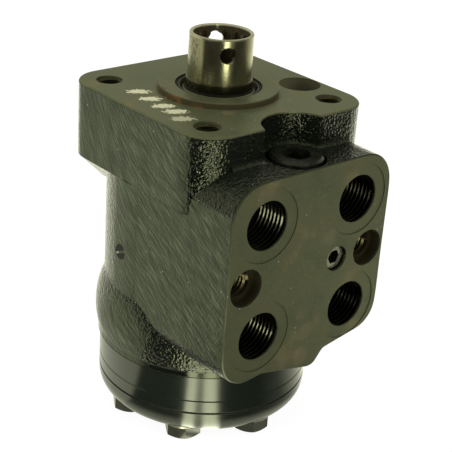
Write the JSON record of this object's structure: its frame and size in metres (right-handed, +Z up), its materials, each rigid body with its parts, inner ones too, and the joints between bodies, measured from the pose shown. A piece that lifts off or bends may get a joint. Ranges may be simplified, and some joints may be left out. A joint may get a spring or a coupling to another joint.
{
  "type": "orbital steering unit",
  "caption": "Hydraulic orbital steering unit with square flange, splined shaft socket, four threaded ports and round gear set with cover",
  "frame": {"origin": "middle of the mounting face on the shaft axis", "axes": "+Z up along the shaft, -Y out of the port face, +X to the right seen from the ports"},
  "size_m": [0.0884, 0.1001, 0.1536],
  "materials": {
    "cast_iron": "machined and lightly oiled, rust specks",
    "dark_steel": "phosphated and oiled, glossy",
    "shaft_steel": "turned, with light rust",
    "bright_steel": "ground",
    "black_screws": "blackened and oiled",
    "washers": "dull",
    "seal_rubber": "black rubber"
  },
  "bodies": {
    "housing": {"check_valve_bush": "black_screws", "cover_screws": "black_screws", "cover_seal_ring": "seal_rubber", "distributor_plate": "dark_steel", "dust_seal": "seal_rubber", "end_cover": "dark_steel", "gear_ring": "dark_steel", "housing_seal_ring": "seal_rubber", "pin_screw": "black_screws", "plate_seal_ring": "seal_rubber", "port_face_plug": "black_screws", "relief_adjuster": "black_screws", "relief_plug": "black_screws", "relief_plug_seal": "washers", "relief_seat": "bright_steel", "relief_spring": "bright_steel", "screw_washers": "washers", "shaft_seal": "seal_rubber", "side_plug": "washers", "upper_bearing_race": "bright_steel", "valve_housing": "cast_iron"},
    "sleeve_set": {"sleeve": "bright_steel", "lower_bearing_race": "bright_steel", "spring_ring": "bright_steel", "centring_springs": "bright_steel", "cross_pin": "bright_steel"},
    "spool": {"spool_shaft": "shaft_steel"},
    "needle_cage": {"needle_bearing": "bright_steel"},
    "spacer": {"rotor_spacer": "bright_steel"},
    "rotor_body": {"rotor": "dark_steel"},
    "cardan": {"cardan_shaft": "bright_steel"},
    "ball": {"check_ball": "bright_steel"},
    "poppet": {"relief_poppet": "bright_steel"}
  },
  "joints": [
    {"name": "sleeve_spin", "type": "hinge", "parent": "housing", "child": "sleeve_set", "pos_m": [0, 0, -0.057], "axis": [0, 0, 1], "continuous": true},
    {"name": "spool_turn", "type": "hinge", "parent": "sleeve_set", "child": "spool", "pos_m": [0, 0, -0.018], "axis": [0, 0, 1], "range_deg": [-8, 8], "stiffness_Nm_per_rad": 1},
    {"name": "bearing_spin", "type": "hinge", "parent": "housing", "child": "needle_cage", "pos_m": [0, 0, -0.0118], "axis": [0, 0, 1], "continuous": true},
    {"name": "rotor_orbit", "type": "hinge", "parent": "housing", "child": "spacer", "pos_m": [0, 0, -0.1155], "axis": [0, 0, 1], "continuous": true},
    {"name": "rotor_spin", "type": "hinge", "parent": "spacer", "child": "rotor_body", "pos_m": [0.0028, 0, -0.1137], "axis": [0, 0, 1], "continuous": true},
    {"name": "cardan_spin", "type": "hinge", "parent": "spacer", "child": "cardan", "pos_m": [0, 0, -0.062], "axis": [-0.0553, 0, 0.9985], "continuous": true},
    {"name": "check_lift", "type": "slide", "parent": "housing", "child": "ball", "axis": [0, 0, 1], "range_m": [0, 0.0013]},
    {"name": "relief_lift", "type": "slide", "parent": "housing", "child": "poppet", "axis": [0, 0, 1], "range_m": [0, 0.0015], "stiffness_N_per_m": 2000, "springref_m": -0.002, "deforming": ["relief_spring"]}
  ],
  "couplings": [
    {"joint": "sleeve_spin", "follows": "rotor_orbit", "ratio": -0.16667},
    {"joint": "bearing_spin", "follows": "rotor_orbit", "ratio": -0.083333},
    {"joint": "rotor_spin", "follows": "rotor_orbit", "ratio": -1.1667},
    {"joint": "cardan_spin", "follows": "rotor_orbit", "ratio": -1.1667}
  ]
}
